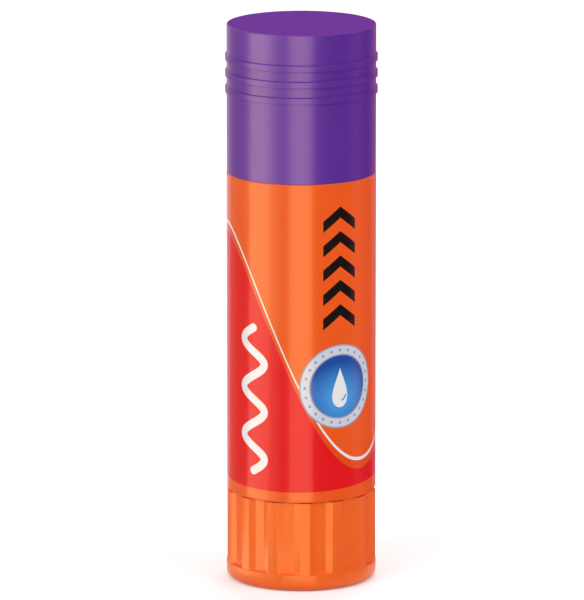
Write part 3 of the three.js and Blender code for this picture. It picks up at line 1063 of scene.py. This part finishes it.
def wave_foot(x):
    """Height of the red wave's lower edge."""
    turn = math.tau * (x - FOOT_CREST_X) / film_length
    return FOOT_MIDDLE + FOOT_SWING * math.cos(turn)


def above_wave(rise):
    """The curve that runs some way above the red wave's upper edge, and meets itself behind the stick."""

    def height(x):
        turn = math.tau * (x - WAVE_CREST_X) / film_length
        ripple = WAVE_RIPPLE * math.sin(2 * turn + WAVE_RIPPLE_PHASE)
        return WAVE_MIDDLE + WAVE_SWING * math.cos(turn) + ripple + rise

    return height


def wave_print():
    """The red wave, with a darker edge and a pinstripe along its top."""
    wave_top, edge_top = above_wave(0), above_wave(WAVE_EDGE)
    return [
        ("red", stripe(wave_foot, wave_top)),
        ("deep_orange", stripe(wave_top, edge_top)),
        ("white", stripe(edge_top, above_wave(WAVE_EDGE + PINSTRIPE))),
    ]


def zigzag():
    """The centre line of the winding ribbon on the red wave, from its foot up."""
    steps = ZIGZAG_WAVES * ZIGZAG_WAVE_STEPS
    points = []
    for step in range(steps + 1):
        swing = ZIGZAG_SWING * math.sin(math.tau * step / ZIGZAG_WAVE_STEPS)
        points.append((ZIGZAG_X + swing, ZIGZAG_Y + ZIGZAG_HEIGHT * step / steps))
    return points


def chevron(x, y):
    """An arrowhead that points up, without a shaft."""
    half = CHEVRON_WIDTH / 2
    inner = [(x - half, y), (x, y + CHEVRON_RISE), (x + half, y)]
    return inner + [(px, py + CHEVRON_THICKNESS) for px, py in reversed(inner)]


def drop():
    """A drop in the badge, with its point up."""
    points = []
    for index in range(CURVE_POINTS):
        turn = math.tau * index / CURVE_POINTS
        narrow = math.sin(turn / 2) ** DROP_POINT
        x = BADGE_X - DROP_SIZE * DROP_WIDTH_SHARE * math.sin(turn) * narrow
        points.append((x, BADGE_Y - DROP_BELOW + DROP_SIZE * math.cos(turn)))
    return points


def glint():
    """The centre line of the short curved stroke in the drop."""
    points = []
    for step in range(GLINT_STEPS + 1):
        turn = GLINT_START + GLINT_STEP * step
        x = BADGE_X + GLINT_RADIUS * math.cos(turn)
        points.append((x, BADGE_Y - GLINT_BELOW + GLINT_RADIUS * math.sin(turn)))
    return points


def badge_print():
    """A ring with dots in it, round a disc with a drop on it."""
    discs = [
        ("silver_edge", BADGE_SIZE),
        ("silver", BADGE_SIZE - BADGE_LINE),
        ("silver_edge", BADGE_DISC_SIZE + BADGE_LINE),
        ("blue", BADGE_DISC_SIZE),
    ]
    printed = [(name, disc(BADGE_X, BADGE_Y, size)) for name, size in discs]
    ring_radius = (BADGE_SIZE + BADGE_DISC_SIZE) / 4
    for index in range(DOT_COUNT):
        turn = math.tau * index / DOT_COUNT
        x, y = BADGE_X + ring_radius * math.sin(turn), BADGE_Y + ring_radius * math.cos(turn)
        printed.append(("silver_edge", disc(x, y, DOT_SIZE, count=DOT_POINTS)))
    return [*printed, ("white", drop()), ("blue", ribbon(glint(), GLINT_WIDTH))]


def label_print():
    """The inks on the label, as (ink, outline) in the order they are printed."""
    heights = [CHEVRON_Y + CHEVRON_PITCH * index for index in range(CHEVRON_COUNT)]
    chevrons = [("black", chevron(BADGE_X, height)) for height in heights]
    return [*wave_print(), ("white", ribbon(zigzag(), ZIGZAG_WIDTH)), *chevrons, *badge_print()]


def label_ink(name):
    """The material of one of the label's inks, or of its bare film."""
    glow = None
    if name == "blue":
        turn = BADGE_X / label_radius
        height = label_bottom + BADGE_Y - GLOW_BELOW
        centre = (label_radius * math.sin(turn), -label_radius * math.cos(turn), height)
        glow = (PALE_BLUE, centre, GLOW_NEAR, GLOW_FAR)
    shine = RED_SHINE if name == "red" else INK_SHINE
    tint = ORANGE_TINT if "orange" in name else WHITE
    return ink("ink_" + name, INKS[name], shine, tint, glow)


# Label


def cut_film(printed):
    """The film laid flat and cut along the print's outlines: points, triangles and each triangle's ink."""
    start, end = -film_length / 2, film_length / 2 + FILM_OVERLAP
    points = [(start, 0), (end, 0), (end, film_height), (start, film_height)]
    outlines = [[0, 1, 2, 3]]
    for _, outline in printed:
        outlines.append(list(range(len(points), len(points) + len(outline))))
        points += outline
    crossings = []
    column_count = math.ceil((end - start) / (film_length * FILM_COLUMN / FULL_TURN))
    for index in range(1, column_count):
        x = start + (end - start) * index / column_count
        crossings.append([(x, 0), (x, film_height)])
    for index in range(1, FILM_ROW_COUNT):
        y = film_height * index / FILM_ROW_COUNT
        crossings.append([(start, y), (end, y)])
    lines = []
    for crossing in crossings:
        lines.append((len(points), len(points) + 1))
        points += crossing
    vectors = [Vector(point) for point in points]
    cut_points, _, faces, _, _, areas = delaunay_2d_cdt(vectors, lines, outlines, 0, CUT_TOLERANCE)
    triangles, inks = [], []
    for face, inside in zip(faces, areas):
        if 0 in inside:
            last = max(inside)
            triangles.append(face)
            inks.append(printed[last - 1][0] if last else "orange")
    return cut_points, triangles, inks


def rolled(point, inset):
    """A point of the film on the stick, inset from its outer face, with the outward direction there."""
    lapped = (point.x - film_length / 2 + FILM_OVERLAP_RAMP) / FILM_OVERLAP_RAMP
    climb = min(max(lapped, 0), 1)
    radius = label_radius - inset + FILM_OVERLAP_RISE * climb * climb * (3 - 2 * climb)
    slope = FILM_OVERLAP_RISE * 6 * climb * (1 - climb) / FILM_OVERLAP_RAMP
    turn = point.x / label_radius
    outward = Vector((math.sin(turn), -math.cos(turn), 0))
    along = Vector((math.cos(turn), math.sin(turn), 0))
    return outward * radius + Vector((0, 0, label_bottom + point.y)), (outward - along * slope).normalized()


def make_label():
    """The printed film, wrapped round the barrel and lapped over itself behind."""
    points, triangles, inks = cut_film(label_print())
    used = sorted({index for triangle in triangles for index in triangle})
    index_of = {old: new for new, old in enumerate(used)}
    outer = [rolled(points[old], 0) for old in used]
    inner = [rolled(points[old], FILM_THICKNESS) for old in used]
    count = len(used)
    front = [tuple(index_of[corner] for corner in triangle) for triangle in triangles]
    back = [tuple(corner + count for corner in reversed(face)) for face in front]
    edges = {(face[side], face[(side + 1) % 3]) for face in front for side in range(3)}
    rim = [(b, a, a + count, b + count) for a, b in sorted(edges) if (b, a) not in edges]
    vertices = [point for point, _ in outer + inner]
    piece = mesh_object("label_film", vertices, front + back + rim)
    names = ["film", "orange", *sorted(set(inks) - {"orange"})]
    place(piece, "label", "body", [label_ink(name) for name in names])
    for face, name in zip(piece.data.polygons, inks):
        face.material_index = names.index(name)
    piece.data.shade_smooth()
    normals = [outer[corner][1] for face in front for corner in face]
    normals += [-inner[corner - count][1] for face in back for corner in face]
    for face in piece.data.polygons[len(front) + len(back) :]:
        normals += [face.normal] * len(face.vertices)
    piece.data.normals_split_custom_set(normals)


# Studio


def seen_directly(nodes):
    """An output that is 1 for rays from the camera, in mirrors and through glass."""
    path = nodes.add("LightPath")
    total = path.outputs["Is Camera Ray"]
    for name in ("Is Glossy Ray", "Is Transmission Ray"):
        total = nodes.add("Math", {0: total, 1: path.outputs[name]}, operation="MAXIMUM").outputs["Value"]
    return total


def make_world():
    """A white background that lights the object less than it shows."""
    world = bpy.data.worlds.new("studio")
    bpy.context.scene.world = world
    nodes = Nodes(world)
    background = nodes.tree.nodes["Background"]
    nodes.set(background.inputs["Color"], WHITE)
    nodes.set(background.inputs["Strength"], nodes.between(seen_directly(nodes), AMBIENT, BACKGROUND))


def floor_material():
    """A pale floor that keeps the shadow near the object and fades into the background far off."""
    surface = Surface("floor")

    def emission(strength):
        return surface.add("Emission", {"Color": WHITE, "Strength": strength}).outputs[0]

    grey = (FLOOR_COLOUR, FLOOR_COLOUR, FLOOR_COLOUR, 1)
    paint = surface.add("BsdfDiffuse", {"Color": grey}).outputs[0]
    near = surface.add("AddShader", {0: paint, 1: emission(FLOOR_LIFT)}).outputs[0]
    fade = surface.between(surface.distance((0, 0, 0)), 0, 1, at=FLOOR_FADE, curve="SMOOTHSTEP")
    shown = surface.add("MixShader", {0: fade, 1: near, 2: emission(BACKGROUND)}).outputs[0]
    surface.show(surface.add("MixShader", {0: seen_directly(surface), 1: paint, 2: shown}).outputs[0])
    return surface.material


def make_floor():
    """A square floor under the stick."""
    half = FLOOR_SIZE / 2
    corners = [(-half, -half, 0), (half, -half, 0), (half, half, 0), (-half, half, 0)]
    floor = mesh_object("floor", corners, [(0, 1, 2, 3)])
    floor.data.materials.append(floor_material())


def make_card(name, start, end, strength, colour):
    """A card that only gloss shows, reflected by the stick between two azimuths of its wall."""
    vertices, faces = [], []
    for distance, height in ((CARD_NEAR, CARD_LIFT), (CARD_BEND, CARD_LIFT), (CARD_BEND, CARD_TOP)):
        for step in range(CARD_STEPS + 1):
            turn = 2 * math.radians(start + (end - start) * step / CARD_STEPS)
            vertices.append((distance * math.sin(turn), -distance * math.cos(turn), height))
    for row in (0, CARD_STEPS + 1):
        for step in range(row, row + CARD_STEPS):
            faces.append((step, step + 1, step + CARD_STEPS + 2, step + CARD_STEPS + 1))
    card = mesh_object(name, vertices, faces)
    surface = Surface(name)
    surface.show(surface.add("Emission", {"Color": colour, "Strength": strength}).outputs[0])
    card.data.materials.append(surface.material)
    for kind in ("camera", "diffuse", "transmission", "volume_scatter", "shadow"):
        setattr(card, "visible_" + kind, False)


def make_lamp(name, azimuth, elevation, distance, size, power, colour=(1, 1, 1)):
    """A square soft lamp that points at the middle of the stick.

    Its distance and size are in metres, and its power is in watts.
    """
    lamp = bpy.data.lights.new(name, "AREA")
    lamp.size = size
    lamp.energy = power
    lamp.color = colour
    holder = bpy.data.objects.new(name, lamp)
    turn, rise = math.radians(azimuth), math.radians(elevation)
    away = Vector((math.sin(turn) * math.cos(rise), -math.cos(turn) * math.cos(rise), math.sin(rise)))
    holder.location = Vector((0, 0, (cad_box[0].z + cad_box[1].z) / 2)) + away * distance
    holder.rotation_euler = away.to_track_quat("Z", "Y").to_euler()
    holder.visible_camera = False
    holder.visible_glossy = False
    bpy.context.scene.collection.objects.link(holder)


def make_camera():
    """The photograph's camera, in front of the stick and a little above it."""
    lens = bpy.data.cameras.new("camera")
    lens.sensor_width = SENSOR
    lens.lens = SENSOR * PIXELS_PER_MM * CAMERA_DISTANCE / IMAGE_HEIGHT
    camera = bpy.data.objects.new("camera", lens)
    bpy.context.scene.collection.objects.link(camera)
    bpy.context.scene.camera = camera
    side = (IMAGE_WIDTH / 2 - AXIS_X) / PIXELS_PER_MM
    rise = math.radians(CAMERA_ELEVATION)
    away = Vector((0, -math.cos(rise), math.sin(rise)))
    camera.location = (Vector((side, 0, AIM_HEIGHT)) + away * CAMERA_DISTANCE) * MM
    camera.rotation_euler = away.to_track_quat("Z", "Y").to_euler()


make_camera()
make_world()
make_floor()
for number, band in enumerate(BANDS):
    make_card(f"card_{number}", *band)
make_lamp("key", azimuth=-45, elevation=42, distance=0.9, size=0.5, power=2.8)
make_lamp("fill", azimuth=60, elevation=35, distance=0.9, size=0.6, power=2.8, colour=(0.97, 0.97, 1))
make_lamp("back", azimuth=170, elevation=45, distance=0.9, size=0.5, power=3)

cap_side = moulded("cap_side", PURPLE, roughness=0.3)
# The top's matte, low-shine finish is the plastic's own; its darker purple is painted shade.
cap_disc_matte_shaded = moulded("cap_disc_matte_shaded", SHADED_TOP_PURPLE, roughness=0.72, shine=DISC_SHINE, peel=DISC_PEEL_HEIGHT)
natural_plastic = moulded("natural_plastic", NATURAL, roughness=0.42, softness=0.25)
make_cap(cap_side, cap_disc_matte_shaded)
make_barrel(moulded("barrel_orange", ORANGE, roughness=0.34, tint=ORANGE_TINT))
make_label()
make_knob(moulded("knob_orange", KNOB_ORANGE, roughness=0.31, tint=ORANGE_TINT))
make_spindle(natural_plastic)
make_carrier(natural_plastic)
make_glue(waxy("glue_wax", GLUE_WHITE))

scene = bpy.context.scene
scene.view_settings.view_transform = "Standard"
